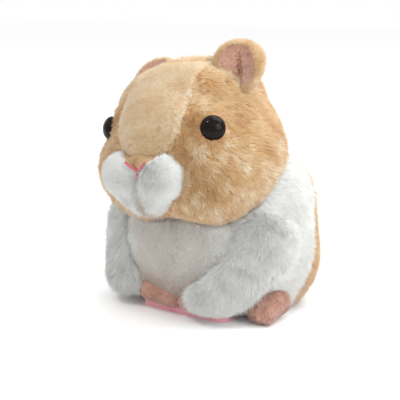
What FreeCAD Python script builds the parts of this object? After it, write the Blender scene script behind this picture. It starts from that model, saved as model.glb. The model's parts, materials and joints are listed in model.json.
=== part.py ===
import FreeCAD, Part
import math
import os
import re
import Sketcher

# Interactive plush pet: a small nodding, talking hamster on a felt-covered sole plate.
# Frame: millimetres, +Z up, the pet faces -Y, +X is the pet's own left side.
# The origin is under the middle of the whole pet, on the plane that its sole rests on.
# Sub-parts are modelled about the sole's centre, which lies behind the origin by sole_y.

DIMENSIONS = {
    # sole, its felt and the plate inside it
    "sole_y": 12.5,
    "sole_width": 52.0,
    "sole_length": 68.0,
    "sole_corner": 5.0,
    "sole_thickness": 3.2,
    "felt_thickness": 1.0,
    "felt_fold": 0.6,
    # three AAA cells and their box
    "cell_diameter": 10.5,
    "cell_length": 44.5,
    "cell_spacing": 11.2,
    "cell_nub_radius": 1.9,
    "cell_nub_length": 0.8,
    "cell_side_gap": 0.5,
    "contact_room": 3.0,
    "contact_thickness": 0.4,
    "coil_gap": 0.05,
    "box_wall": 1.2,
    "bay_y": 0.0,
    # battery door
    "door_thickness": 2.2,
    "door_recess": 0.6,
    "door_gap": 0.25,
    "door_tab_width": 5.0,
    "door_tab_length": 9.0,
    "door_screw_radius": 1.3,
    "door_screw_head_radius": 2.4,
    "door_screw_head_length": 1.2,
    "door_screw_length": 8.5,
    "door_screw_slot": 0.6,
    # slide switch in the sole
    "switch_x": 20.8,
    "switch_y": 12.0,
    "switch_width": 3.6,
    "switch_length": 8.6,
    "switch_height": 3.4,
    "switch_travel": 2.0,
    "switch_knob_width": 1.6,
    "switch_knob_length": 2.0,
    "switch_gap": 0.4,
    # inner shell around the mechanism
    "shell_width": 50.0,
    "shell_length": 57.0,
    "shell_corner": 9.5,
    "shell_top": 50.0,
    "shell_wall": 2.0,
    "shell_split_y": 5.0,
    "neck_hole_width": 17.0,
    "neck_hole_length": 26.4,
    "shell_screw_radius": 0.9,
    "shell_screw_length": 10.0,
    "shell_screw_x": 20.0,
    # gear case
    "case_left_x": 8.0,
    "case_right_x": -4.0,
    "case_plate": 1.6,
    "case_rear_y": 22.0,
    "case_shoulder_z": 46.0,
    "case_top": 75.5,
    "case_neck_half": 7.0,
    "case_slope": 8.0,
    "post_radius": 2.0,
    "post_edge": 3.0,
    "post_drop": 12.0,
    # head pivot and gears
    "pivot_y": -12.0,
    "pivot_z": 70.0,
    "pin_radius": 1.5,
    "bore_clearance": 0.05,
    "module_final": 1.0,
    "module_fast": 0.8,
    "sector_teeth": 40,
    "sector_width": 4.0,
    "sector_x": 0.0,
    "pinion_teeth": 10,
    "wheel_teeth": 30,
    "wheel_width": 1.8,
    "gear_backlash": 0.18,
    "pressure_angle": 20.0,
    "tooth_depth_ratio": 1.25,
    "hub_wall": 1.0,
    "gear_side_gap": 1.0,
    "gear_overhang": 0.2,
    "sector_kept_teeth": 9,
    "sector_hub_radius": 4.5,
    "sector_hub_turn": 70.0,
    "rocker_neck_length": 8.0,
    "rocker_flange_length": 18.0,
    "rocker_flange_shift": 5.0,
    "rocker_flange_inset": 8.0,
    "train_angle_one": -39.0,
    "train_angle_two": -41.5,
    # motor
    "motor_radius": 8.0,
    "motor_length": 16.0,
    "motor_shaft_radius": 1.0,
    "motor_end_wall": 2.0,
    "motor_shaft_play": 1.0,
    # speaker, microphone, electronics
    "speaker_radius": 10.0,
    "speaker_depth": 4.0,
    "speaker_rim": 2.0,
    "speaker_magnet_radius": 5.0,
    "speaker_magnet_depth": 3.0,
    "speaker_y": -8.5,
    "speaker_z": 30.0,
    "board_x": 13.0,
    "board_length": 32.0,
    "board_height": 24.0,
    "board_thickness": 1.6,
    "board_y": 2.0,
    "board_z": 31.0,
    "spacer_radius": 2.0,
    "spacer_reach": 9.0,
    "spacer_rise": 6.0,
    "chip_side": 8.0,
    "chip_height": 1.5,
    "microphone_radius": 3.0,
    "microphone_depth": 2.2,
    "microphone_y": -6.0,
    "microphone_z": 36.0,
    "voice_hole_radius": 1.0,
    # tummy button
    "button_radius": 5.5,
    "button_stem_radius": 2.0,
    "button_cap_length": 3.0,
    "button_stand_off": 3.0,
    "button_collar_radius": 3.2,
    "button_collar_length": 0.8,
    "button_pocket_gap": 1.0,
    "button_x": 2.0,
    "button_z": 24.0,
    "button_switch_side": 6.0,
    "button_switch_depth": 3.5,
    "button_board_height": 10.0,
    # plush body
    "body_y": -3.0,
    "body_z": 36.0,
    "body_half_width": 50.0,
    "body_half_depth": 45.0,
    "body_half_height": 50.0,
    "pile": 3.0,
    "neck_gap": 4.0,
    "back_panel_y": 20.0,
    "haunch_x": 22.0,
    "haunch_y": 13.5,
    "haunch_z": 22.0,
    "haunch_half_width": 24.0,
    "haunch_half_height": 28.0,
    # arms, paws, feet and tail
    "arm_radius": 14.0,
    "arm_shoulder_x": 42.0,
    "arm_shoulder_y": -18.0,
    "arm_shoulder_z": 46.0,
    "arm_wrist_x": 27.0,
    "arm_wrist_y": -36.0,
    "arm_wrist_z": 18.0,
    "paw_radius": 6.4,
    "paw_inner_x": 8.0,
    "paw_outer_x": 17.0,
    "paw_y": -35.0,
    "foot_x": 44.0,
    "foot_y": -22.0,
    "foot_radius": 9.5,
    "foot_reach": 12.0,
    "foot_floor_gap": 0.1,
    "tail_y": 39.0,
    "tail_z": 14.0,
    "tail_radius": 6.0,
    # head
    "head_y": -21.5,
    "head_z": 91.0,
    "head_half_width": 50.0,
    "head_half_depth": 45.0,
    "head_half_height": 38.5,
    "head_roll": 5.0,
    "head_hole_radius": 30.0,
    "skull_half_width": 30.0,
    "skull_half_depth": 28.0,
    "skull_half_height": 23.0,
    "skull_wall": 2.0,
    "skull_rim_z": 81.0,
    "skull_flange": 2.4,
    "skull_room": 1.5,
    "neck_hole_rise": 3.0,
    "neck_hole_shift": 4.0,
    "forehead_half_width": 17.0,
    # muzzle and nose, measured from the head's centre
    "muzzle_x": 11.0,
    "muzzle_y": -38.0,
    "muzzle_z": -15.0,
    "muzzle_half_width": 15.0,
    "muzzle_half_depth": 10.5,
    "muzzle_half_height": 15.0,
    "nose_y": -46.5,
    "nose_z": -11.0,
    "nose_reach": 6.0,
    "thread_radius": 0.6,
    "stitch_gap": 1.32,
    "nose_rise": 4.2,
    "nose_side_step": 1.4,
    # eyes, measured from the head's centre
    "eye_x": 31.0,
    "eye_y": -27.2,
    "eye_z": 6.7,
    "eye_radius": 6.0,
    "eye_dome": 4.2,
    "eye_stem_radius": 2.0,
    "eye_stem_length": 10.0,
    "washer_radius": 5.5,
    "washer_thickness": 1.2,
    "washer_depth": 6.0,
    # ears, measured from the head's centre
    "ear_x": 30.0,
    "ear_y": -2.0,
    "ear_z": 34.0,
    "ear_half_width": 12.5,
    "ear_half_depth": 5.0,
    "ear_half_height": 14.5,
    "lining_half_width": 9.5,
    "lining_half_height": 10.5,
    "lining_depth": 2.0,
    "ear_turn": 14.0,
    "left_ear_lean": 8.0,
    "right_ear_lean": 50.0,
}

doc = FreeCAD.newDocument("plush_pet")
sheet = doc.addObject("Spreadsheet::Sheet", "dims")
for row, (alias, value) in enumerate(DIMENSIONS.items(), start=1):
    cell = f"A{row}"
    sheet.set(cell, str(value))
    sheet.setAlias(cell, alias)
doc.recompute()

WORD = re.compile(r"[a-z][a-z_]+")
TURNS = {
    "x": FreeCAD.Rotation(FreeCAD.Vector(0, 1, 0), 90),
    "y": FreeCAD.Rotation(FreeCAD.Vector(1, 0, 0), -90),
    "z": FreeCAD.Rotation(),
}
nodes = []


def size(alias):
    """The number that the sheet holds under this alias."""
    return float(sheet.get(alias))


def in_sheet(word):
    name = word.group()
    return f"dims.{name}" if name in DIMENSIONS else name


def bind(item, prop, formula):
    """Tie a property to a formula of the sheet's aliases."""
    item.setExpression(prop, WORD.sub(in_sheet, formula))


def place(item, x="0", y="0", z="0"):
    bind(item, "Placement.Base.x", x)
    bind(item, "Placement.Base.y", y)
    bind(item, "Placement.Base.z", z)
    return item


def keep(item, label):
    """Set a finished sub-part in the pet's frame; its label is also its file's name."""
    node = group(item)
    bind(node, "Placement.Base.y", "sole_y")
    node.Label = label
    nodes.append(node)


# ---- plain solids, centred on their own middle in x and y unless said otherwise


def block(length, width, height, x="0", y="0", z="0"):
    """A box centred on x and y whose underside is at z."""
    item = doc.addObject("Part::Box", "block")
    bind(item, "Length", length)
    bind(item, "Width", width)
    bind(item, "Height", height)
    return place(item, f"({x}) - ({length}) / 2", f"({y}) - ({width}) / 2", z)


def rod(radius, length, axis="z", x="0", y="0", z="0"):
    """A cylinder that starts at the given point and runs along the axis."""
    item = doc.addObject("Part::Cylinder", "rod")
    bind(item, "Radius", radius)
    bind(item, "Height", length)
    item.Placement = FreeCAD.Placement(FreeCAD.Vector(), TURNS[axis])
    return place(item, x, y, z)


def ball(radius, x="0", y="0", z="0"):
    item = doc.addObject("Part::Sphere", "ball")
    bind(item, "Radius", radius)
    return place(item, x, y, z)


def egg(half_width, half_depth, half_height, x="0", y="0", z="0", seam=1):
    """An ellipsoid with its half sizes along x, y and z; its seam faces +y, or -y when seam is -1."""
    item = doc.addObject("Part::Ellipsoid", "egg")
    bind(item, "Radius1", half_height)
    bind(item, "Radius2", half_depth)
    bind(item, "Radius3", half_width)
    item.Placement = FreeCAD.Placement(FreeCAD.Vector(), FreeCAD.Rotation(FreeCAD.Vector(0, 0, 1), 90 * seam))
    return place(item, x, y, z)


def cut(base, *tools):
    for tool in tools:
        item = doc.addObject("Part::Cut", "cut")
        item.Base = base
        item.Tool = tool
        base = item
    return base


def join(*parts):
    item = doc.addObject("Part::MultiFuse", "join")
    item.Shapes = list(parts)
    return item


def overlap(*parts):
    item = doc.addObject("Part::MultiCommon", "overlap")
    item.Shapes = list(parts)
    return item


def group(*parts):
    """Separate solids that share one node."""
    item = doc.addObject("Part::Compound", "group")
    item.Links = list(parts)
    return item


# ---- sketched solids


def sketch_on(body, role, points, offset="0"):
    """A closed outline on one of the body's origin planes, each corner tied to its own formulas."""
    plane = next(feature for feature in body.Origin.OriginFeatures if feature.Role == role)
    sketch = body.newObject("Sketcher::SketchObject", "outline")
    sketch.AttachmentSupport = [(plane, "")]
    sketch.MapMode = "FlatFace"
    bind(sketch, "AttachmentOffset.Base.z", offset)
    count = len(points)
    turns = [math.tau * i / count for i in range(count)]
    corners = [FreeCAD.Vector(math.cos(turn), math.sin(turn), 0) for turn in turns]
    for i in range(count):
        sketch.addGeometry(Part.LineSegment(corners[i], corners[(i + 1) % count]))
    for i in range(count):
        sketch.addConstraint(Sketcher.Constraint("Coincident", i, 2, (i + 1) % count, 1))
    for i, (across, along) in enumerate(points):
        for kind, formula in (("DistanceX", across), ("DistanceY", along)):
            index = sketch.addConstraint(Sketcher.Constraint(kind, -1, 1, i, 1, 1.0))
            name = f"{kind}_{i}"
            sketch.renameConstraint(index, name)
            bind(sketch, f"Constraints.{name}", formula)
    return sketch


def rectangle(width, length, x="0", y="0"):
    """The four corners of a centred rectangle."""
    left = f"({x}) - ({width}) / 2"
    right = f"({x}) + ({width}) / 2"
    near = f"({y}) - ({length}) / 2"
    far = f"({y}) + ({length}) / 2"
    return [(left, near), (right, near), (right, far), (left, far)]


def new_body():
    body = doc.addObject("PartDesign::Body", "body")
    doc.recompute()
    return body


def pad(body, sketch, length):
    item = body.newObject("PartDesign::Pad", "pad")
    item.Profile = sketch
    bind(item, "Length", length)
    doc.recompute()
    return item


def round_upright_edges(body, feature, radius):
    """Fillet every straight edge along z of the feature that has no rounding yet."""
    names = []
    for number, edge in enumerate(feature.Shape.Edges, start=1):
        ends = [vertex.Point for vertex in edge.Vertexes]
        upright = len(ends) == 2 and abs(ends[0].x - ends[1].x) + abs(ends[0].y - ends[1].y) < 1e-6
        if upright:
            names.append(f"Edge{number}")
    item = body.newObject("PartDesign::Fillet", "fillet")
    item.Base = (feature, names)
    bind(item, "Radius", radius)
    doc.recompute()
    return item


def turned(points):
    """A solid turned about the body's own z axis from a half profile of (radius, height) corners."""
    body = new_body()
    sketch = sketch_on(body, "XZ_Plane", points)
    item = body.newObject("PartDesign::Revolution", "turning")
    item.Profile = sketch
    item.ReferenceAxis = (sketch, ["V_Axis"])
    item.Angle = 360
    doc.recompute()
    return body


# ---- shared formulas

BAY_WIDTH = "(2 * cell_spacing + cell_diameter + 2 * cell_side_gap)"
BAY_LENGTH = "(cell_length + cell_nub_length + contact_room + 2 * contact_thickness)"
DOOR_TOP = "(door_recess + door_thickness)"
CELL_Z = "(door_recess + door_thickness + cell_diameter / 2 + door_gap)"
BOX_TOP = f"({CELL_Z} + cell_diameter / 2 + door_gap + box_wall)"
TAB_X = f"(-{BAY_WIDTH} / 2 - door_tab_width / 2)"
KNOB_Y = "(switch_y - switch_travel / 2)"
CASE_FRONT_Y = "(pivot_y - case_neck_half)"
SHELL_FRONT_Y = "(-shell_length / 2)"
CASE_GAP = "(case_left_x - case_right_x)"


def felt_outline(inset):
    return rectangle(f"sole_width - 2 * {inset}", f"sole_length - 2 * {inset}")


def door_hole(gap):
    """The battery opening with its screw tab, smaller or larger by a gap all round."""
    main = block(f"{BAY_WIDTH} + 2 * {gap}", f"{BAY_LENGTH} + 2 * {gap}", "sole_thickness", y="bay_y")
    tab = block("2 * door_tab_width", f"door_tab_length + 2 * {gap}", "sole_thickness", f"{TAB_X} - {gap}",
                "bay_y")
    return join(main, tab)


def switch_window(margin):
    length = f"switch_knob_length + switch_travel + 2 * {margin}"
    return block(f"switch_knob_width + 2 * {margin}", length, "2 * sole_thickness", "switch_x", "switch_y")


# ---- the sole and the battery box


def sole_slab(inset, floor_z, top):
    body = new_body()
    slab = pad(body, sketch_on(body, "XY_Plane", felt_outline(inset), floor_z), f"{top} - {floor_z}")
    round_upright_edges(body, slab, f"sole_corner - {inset}")
    return body


def plate_solid():
    """The stiff plate, raised through the felt where the inner shell stands on it."""
    thin = sole_slab("felt_thickness", "felt_thickness", "(sole_thickness - felt_fold)")
    return join(thin, shell_solid("0", "felt_thickness", "sole_thickness"))


def base_plate():
    keep(cut(plate_solid(), door_hole("0"), switch_window("switch_gap")), "base_plate")


def sole_felt():
    """Felt wrapped round the base plate, open over the battery door and the switch."""
    slab = sole_slab("0", "0", "sole_thickness")
    keep(cut(slab, plate_solid(), door_hole("0"), switch_window("2 * switch_gap")), "sole_felt")


def battery_box():
    """A tray turned upside down over the cells, with a boss at one side for the door's screw."""
    height = f"{BOX_TOP} - sole_thickness"
    outer = block(f"{BAY_WIDTH} + 2 * box_wall", f"{BAY_LENGTH} + 2 * box_wall", height, y="bay_y",
                  z="sole_thickness")
    inner = block(BAY_WIDTH, BAY_LENGTH, f"{height} - box_wall", y="bay_y", z="sole_thickness")
    boss_reach = "door_tab_width - box_wall"
    boss_x = f"-{BAY_WIDTH} / 2 - box_wall - ({boss_reach}) / 2"
    boss = block(boss_reach, "door_tab_length", height, boss_x, "bay_y", "sole_thickness")
    screw_hole = rod("door_screw_radius + bore_clearance", "door_screw_length + 2 * door_recess", "z", TAB_X, "bay_y")
    keep(cut(join(outer, boss), inner, screw_hole), "battery_box")


def battery_door():
    main = block(f"{BAY_WIDTH} - 2 * door_gap", f"{BAY_LENGTH} - 2 * door_gap", "door_thickness", y="bay_y",
                 z="door_recess")
    tab = block("2 * door_tab_width", "door_tab_length - 2 * door_gap", "door_thickness",
                f"{TAB_X} + door_gap", "bay_y", "door_recess")
    hole = rod("door_screw_radius", "2 * door_thickness", "z", TAB_X, "bay_y", "0")
    head_seat = rod("door_screw_head_radius", "door_screw_head_length", "z", TAB_X, "bay_y", "door_recess")
    keep(cut(join(main, tab), hole, head_seat), "battery_door")


def door_screw():
    body = turned([
        ("0", "0"),
        ("door_screw_head_radius", "0"),
        ("door_screw_head_radius", "door_screw_head_length"),
        ("door_screw_radius", "door_screw_head_length"),
        ("door_screw_radius", "door_screw_length"),
        ("0", "door_screw_length"),
    ])
    slot = block("2 * door_screw_head_radius", "door_screw_slot", "door_screw_slot")
    driven = cut(body, slot)
    keep(place(driven, TAB_X, "bay_y", "door_recess"), "door_screw")


def cell(index):
    """One AAA cell lying along y; the middle one points the other way."""
    shape = turned([
        ("0", "0"),
        ("cell_diameter / 2", "0"),
        ("cell_diameter / 2", "cell_length"),
        ("cell_nub_radius", "cell_length"),
        ("cell_nub_radius", "cell_length + cell_nub_length"),
        ("0", "cell_length + cell_nub_length"),
    ])
    way = 1 if index == 1 else -1
    shape.Placement = FreeCAD.Placement(FreeCAD.Vector(), FreeCAD.Rotation(FreeCAD.Vector(1, 0, 0), -90 * way))
    start = f"bay_y - {way} * ({BAY_LENGTH} / 2 - contact_thickness - contact_room)"
    place(shape, f"{index - 1} * cell_spacing", start, CELL_Z)
    keep(shape, f"battery_{index + 1}")


def contacts():
    """A flat plate at each end of each cell, and a coiled spring at each flat end."""
    plates = []
    springs = []
    for index in range(3):
        x = f"{index - 1} * cell_spacing"
        spring_side = -1 if index == 1 else 1
        for side in (-1, 1):
            y = f"bay_y + {side} * ({BAY_LENGTH} - contact_thickness) / 2"
            plates.append(block("0.8 * cell_diameter", "contact_thickness", "0.7 * cell_diameter", x, y,
                                f"{CELL_Z} - 0.35 * cell_diameter"))
        springs.append(contact_spring(index, spring_side))
    keep(group(*plates), "contact_plates")
    keep(group(*springs), "contact_springs")


def contact_spring(index, side):
    """A close-wound coil of three turns between a cell's flat end and its plate, with a little play."""
    turns = []
    for turn in (-1, 0, 1):
        coil = doc.addObject("Part::Torus", "coil")
        bind(coil, "Radius1", "cell_diameter / 4")
        bind(coil, "Radius2", "contact_room / 6")
        coil.Placement = FreeCAD.Placement(FreeCAD.Vector(), TURNS["y"])
        reach = f"contact_thickness + contact_room / 2 + {turn} * (contact_room / 3 - coil_gap)"
        y = f"bay_y + {side} * ({BAY_LENGTH} / 2 - ({reach}))"
        turns.append(place(coil, f"{index - 1} * cell_spacing", y, CELL_Z))
    return join(*turns)


# ---- the slide switch


def switch_housing():
    outer = block("switch_width", "switch_length", "switch_height", "switch_x", "switch_y", "sole_thickness")
    length = "switch_knob_length + switch_travel + switch_gap"
    room = block("switch_knob_width + switch_gap / 2", length, "switch_height - box_wall", "switch_x", "switch_y",
                 "sole_thickness")
    keep(cut(outer, room), "switch_housing")


def switch_knob():
    height = "sole_thickness + switch_height - box_wall - switch_gap - door_recess"
    knob = block("switch_knob_width", "switch_knob_length", height, "switch_x", KNOB_Y, "door_recess")
    keep(knob, "switch_knob")


# ---- the inner shell


def shell_solid(inset, floor_z, top):
    body = new_body()
    outline = rectangle(f"shell_width - 2 * {inset}", f"shell_length - 2 * {inset}")
    slab = pad(body, sketch_on(body, "XY_Plane", outline, floor_z), f"{top} - {floor_z}")
    round_upright_edges(body, slab, f"shell_corner - {inset}")
    return body


def shell_halves():
    """A boxy shell over the mechanism, split across the pet into a front and a rear half."""
    for label, side in (("shell_front", -1), ("shell_rear", 1)):
        outer = shell_solid("0", "sole_thickness", "shell_top")
        inner = shell_solid("shell_wall", "sole_thickness", "(shell_top - shell_wall)")
        neck = block("neck_hole_width", "neck_hole_length", "2 * shell_wall", "(case_left_x + case_right_x) / 2",
                     "pivot_y", "shell_top - shell_wall")
        button_bore = rod("button_stem_radius + 2 * bore_clearance", "2 * shell_wall", "y", "button_x",
                          f"{SHELL_FRONT_Y} - shell_wall / 2", "button_z")
        sound_hole = rod("speaker_radius - speaker_rim", "2 * shell_wall", "x",
                         "-shell_width / 2 - shell_wall / 2", "speaker_y", "speaker_z")
        voice_hole = rod("voice_hole_radius", "2 * shell_wall", "x", "shell_width / 2 - 1.5 * shell_wall",
                         "microphone_y", "microphone_z")
        half = block("2 * shell_width", "shell_length", "2 * shell_top", "0",
                     f"shell_split_y + {side} * shell_length / 2", "0")
        screws = shell_screws()
        keep(overlap(cut(outer, inner, neck, button_bore, sound_hole, voice_hole, screws), half), label)
    keep(shell_screws(), "shell_screws")


def shell_screws():
    """Two long screws across the split, near the top corners of the shell."""
    screws = []
    for side in (-1, 1):
        x = f"{side} * shell_screw_x"
        shank = rod("shell_screw_radius", "shell_screw_length", "y", x, "shell_split_y - shell_screw_length / 2",
                    "shell_top - shell_wall / 2")
        screws.append(shank)
    return group(*screws)


# ---- the gear case


def case_plate(label, x):
    """One side plate of the gear case, with a narrow neck that carries the head's pivot."""
    body = new_body()
    sketch = sketch_on(body, "YZ_Plane", [
        (CASE_FRONT_Y, BOX_TOP),
        ("case_rear_y", BOX_TOP),
        ("case_rear_y", "case_shoulder_z - case_slope"),
        ("pivot_y + case_neck_half", "case_shoulder_z"),
        ("pivot_y + case_neck_half", "case_top"),
        (CASE_FRONT_Y, "case_top"),
    ], x)
    pad(body, sketch, "case_plate")
    bores = []
    for y, z in (axle_place(0), axle_place(1), axle_place(2)):
        bores.append(rod("pin_radius", "3 * case_plate", "x", f"({x}) - case_plate", y, z))
    y, z = axle_place(3)
    bores.append(rod("motor_shaft_radius + 2 * bore_clearance", "3 * case_plate", "x", f"({x}) - case_plate",
                     y, z))
    keep(cut(body, *bores), label)


def axle_place(number):
    """The y and z formulas of the head pivot (0), the two gear axles (1, 2) and the motor (3)."""
    final_reach = "(module_final * (sector_teeth + pinion_teeth) / 2)"
    fast_reach = "(module_fast * (wheel_teeth + pinion_teeth) / 2)"
    y, z = "pivot_y", "pivot_z"
    if number >= 1:
        z = f"{z} - {final_reach}"
    if number >= 2:
        y = f"{y} + {fast_reach} * cos(train_angle_one * 1 deg)"
        z = f"{z} + {fast_reach} * sin(train_angle_one * 1 deg)"
    if number >= 3:
        y = f"{y} + {fast_reach} * cos(train_angle_two * 1 deg)"
        z = f"{z} + {fast_reach} * sin(train_angle_two * 1 deg)"
    return y, z


def gear_case():
    case_plate("case_left_plate", "case_left_x")
    case_plate("case_right_plate", "case_right_x - case_plate")
    posts = []
    low = f"{BOX_TOP} + post_edge"
    for y, z in (
        ("case_rear_y - post_edge", low),
        (f"{CASE_FRONT_Y} + post_edge", low),
        ("case_rear_y - post_edge", "case_shoulder_z - post_drop"),
    ):
        posts.append(rod("post_radius", CASE_GAP, "x", "case_right_x", y, z))
    keep(group(*posts), "case_posts")
    for number, label in enumerate(("pivot_pin", "gear_pin_one", "gear_pin_two")):
        y, z = axle_place(number)
        keep(rod("pin_radius", f"{CASE_GAP} + 2 * case_plate", "x", "case_right_x - case_plate", y, z), label)


# ---- gears


FLANK_STEPS = 4
FLANK_START = 20  # the curved flank begins at least a module over this above the root


def involute(angle):
    return math.tan(angle) - angle


def tooth_corners(module, teeth):
    """One tooth about the +x direction, from root to root, as a list of (radius, angle)."""
    pitch_radius = module * teeth / 2
    pressure = math.radians(size("pressure_angle"))
    base_radius = pitch_radius * math.cos(pressure)
    tip_radius = pitch_radius + module
    root_radius = pitch_radius - size("tooth_depth_ratio") * module
    half_tooth = math.pi / teeth / 2 - size("gear_backlash") * module / pitch_radius
    half_base = half_tooth + involute(pressure)
    flank = [(root_radius, half_base)]
    start = max(base_radius, root_radius + module / FLANK_START)
    for step in range(FLANK_STEPS + 1):
        radius = start + (tip_radius - start) * step / FLANK_STEPS
        flank.append((radius, half_base - involute(math.acos(min(1.0, base_radius / radius)))))
    return [(radius, -angle) for radius, angle in flank] + [(radius, angle) for radius, angle in reversed(flank)]


def gear_wire(module, teeth, count, turn):
    """The outline of count neighbouring teeth; a full gear closes on itself, a sector on its hub."""
    corners = []
    for index in range(count):
        middle = math.radians(turn) + math.tau / teeth * (index - (count - 1) // 2)
        for radius, angle in tooth_corners(module, teeth):
            corners.append(FreeCAD.Vector(0, radius * math.cos(middle + angle), radius * math.sin(middle + angle)))
    if count < teeth:
        reach = size("sector_hub_radius") - size("gear_side_gap") / 2
        for side in (1, -1):
            angle = math.radians(turn + side * size("sector_hub_turn"))
            corners.append(FreeCAD.Vector(0, reach * math.cos(angle), reach * math.sin(angle)))
    return Part.makePolygon(corners + corners[:1])


def gear(module, teeth, width, x, axle, turn, count=None):
    """A spur gear about x, width wide from x, standing on the numbered axle; count keeps only some teeth."""
    item = doc.addObject("Part::Feature", "gear")
    outline = gear_wire(module, teeth, count or teeth, turn)
    item.Shape = Part.Face(outline).extrude(FreeCAD.Vector(width, 0, 0))
    y, z = axle_place(axle)
    return place(item, x, y, z)


def pitch_angle(teeth):
    return 360 / teeth


def gear_train():
    """The sector's middle tooth points down; each driven gear is turned so that a gap meets a tooth."""
    final = size("module_final")
    fast = size("module_fast")
    pinion = int(size("pinion_teeth"))
    wheel = int(size("wheel_teeth"))
    one = size("train_angle_one")
    two = size("train_angle_two")
    width = size("sector_width")
    slim = size("wheel_width")
    gap = size("gear_side_gap")
    overhang = size("gear_overhang")
    bore = "pin_radius + bore_clearance"
    hub = "pin_radius + hub_wall"

    y, z = axle_place(1)
    gap_up = 90 + pitch_angle(pinion) / 2
    hub_x = "case_right_x + 2 * bore_clearance"
    small = gear(final, pinion, width + 2 * gap, "sector_x - gear_side_gap", 1, gap_up)
    large = gear(fast, wheel, slim, "sector_x + sector_width + gear_side_gap", 1, one)
    hole = rod(bore, CASE_GAP, "x", "case_right_x", y, z)
    sleeve = rod(hub, f"sector_x - gear_side_gap - ({hub_x})", "x", hub_x, y, z)
    keep(cut(join(small, large, sleeve), hole), "reduction_gear_one")

    y, z = axle_place(2)
    fast_x = "sector_x + sector_width + gear_side_gap - gear_overhang"
    slim_x = "case_right_x + gear_side_gap"
    small = gear(fast, pinion, slim + 2 * overhang, fast_x, 2, one + 180 + pitch_angle(pinion) / 2)
    large = gear(fast, wheel, slim, slim_x, 2, two)
    sleeve = rod(hub, f"{fast_x} - ({slim_x})", "x", slim_x, y, z)
    hole = rod(bore, CASE_GAP, "x", "case_right_x", y, z)
    keep(cut(join(small, large, sleeve), hole), "reduction_gear_two")

    y, z = axle_place(3)
    drive_x = f"{slim_x} - gear_overhang"
    drive = gear(fast, pinion, slim + 2 * overhang, drive_x, 3, two + 180 + pitch_angle(pinion) / 2)
    hole = rod("motor_shaft_radius", CASE_GAP, "x", "case_right_x", y, z)
    keep(cut(drive, hole), "motor_pinion")


def head_rocker():
    """Toothed sector, hub and upright in one moulding, with the flange that the skull sits on."""
    y, z = axle_place(0)
    teeth = int(size("sector_teeth"))
    kept = int(size("sector_kept_teeth"))
    sector = gear(size("module_final"), teeth, size("sector_width"), "sector_x", 0, -90, kept)
    hub = rod("sector_hub_radius", "sector_width", "x", "sector_x", y, z)
    upright = block("sector_width", "rocker_neck_length", "skull_rim_z - pivot_z", "sector_x + sector_width / 2",
                    y, z)
    flange = block("2 * skull_half_width - rocker_flange_inset", "rocker_flange_length", "skull_flange", "0",
                   "head_y + rocker_flange_shift", "skull_rim_z - skull_flange")
    hole = rod("pin_radius + bore_clearance", CASE_GAP, "x", "case_right_x", y, z)
    keep(cut(join(sector, hub, upright, flange), hole), "head_rocker")


def motor():
    """The can lies against the right plate; its shaft reaches through the plate into the motor pinion."""
    y, z = axle_place(3)
    outer_x = "case_right_x - case_plate - motor_length"
    shaft_x = f"{outer_x} + motor_end_wall + motor_shaft_play"
    can = rod("motor_radius", "motor_length", "x", outer_x, y, z)
    bore = rod("motor_shaft_radius + bore_clearance", "motor_length", "x", f"{outer_x} + motor_end_wall", y, z)
    keep(cut(can, bore), "motor_can")
    shaft_length = "motor_length + case_plate - motor_end_wall + wheel_width"
    keep(rod("motor_shaft_radius", shaft_length, "x", shaft_x, y, z), "motor_shaft")


# ---- electronics


def electronics():
    """The speaker and the microphone on the shell's walls, and the board beside the gear case."""
    wall_x = "(-shell_width / 2 + shell_wall)"
    keep(rod("speaker_radius", "speaker_depth", "x", wall_x, "speaker_y", "speaker_z"), "speaker_frame")
    magnet = rod("speaker_magnet_radius", "speaker_magnet_depth", "x", f"{wall_x} + speaker_depth", "speaker_y",
                 "speaker_z")
    keep(magnet, "speaker_magnet")
    microphone_x = "shell_width / 2 - shell_wall - microphone_depth"
    microphone = rod("microphone_radius", "microphone_depth", "x", microphone_x, "microphone_y", "microphone_z")
    keep(microphone, "microphone")
    board = block("board_thickness", "board_length", "board_height", "board_x + board_thickness / 2", "board_y",
                  "board_z - board_height / 2")
    keep(board, "circuit_board")
    chip = block("chip_height", "chip_side", "chip_side", "board_x + board_thickness + chip_height / 2", "board_y",
                 "board_z - chip_side / 2")
    keep(chip, "main_chip")
    spacers = []
    for side in (-1, 1):
        spacers.append(rod("spacer_radius", "board_x - case_left_x - case_plate", "x", "case_left_x + case_plate",
                           f"board_y + {side} * spacer_reach", f"{BOX_TOP} + spacer_rise"))
    keep(group(*spacers), "board_spacers")


def tummy_button():
    """A button pressed through the plush: its cap stands off the shell, its collar holds it in."""
    front = f"{SHELL_FRONT_Y} - button_stand_off - button_cap_length"
    cap = rod("button_radius", "button_cap_length", "y", "button_x", front, "button_z")
    stem_length = "button_stand_off + shell_wall + 2 * bore_clearance + button_collar_length"
    stem = rod("button_stem_radius", stem_length, "y", "button_x", f"{SHELL_FRONT_Y} - button_stand_off",
               "button_z")
    collar = rod("button_collar_radius", "button_collar_length", "y", "button_x",
                 f"{SHELL_FRONT_Y} + shell_wall + 2 * bore_clearance", "button_z")
    keep(join(cap, stem, collar), "tummy_button")
    board_y = f"{CASE_FRONT_Y} - board_thickness / 2"
    middle = "(case_left_x + case_right_x) / 2"
    board = block(f"{CASE_GAP} + 2 * case_plate", "board_thickness", "button_board_height", middle, board_y,
                  "button_z - button_board_height / 2")
    keep(board, "button_board")
    switch = block("button_switch_side", "button_switch_depth", "button_switch_side", "button_x",
                   f"{CASE_FRONT_Y} - board_thickness - button_switch_depth / 2",
                   "button_z - button_switch_side / 2")
    keep(switch, "button_switch")


# ---- the plush body


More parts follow.
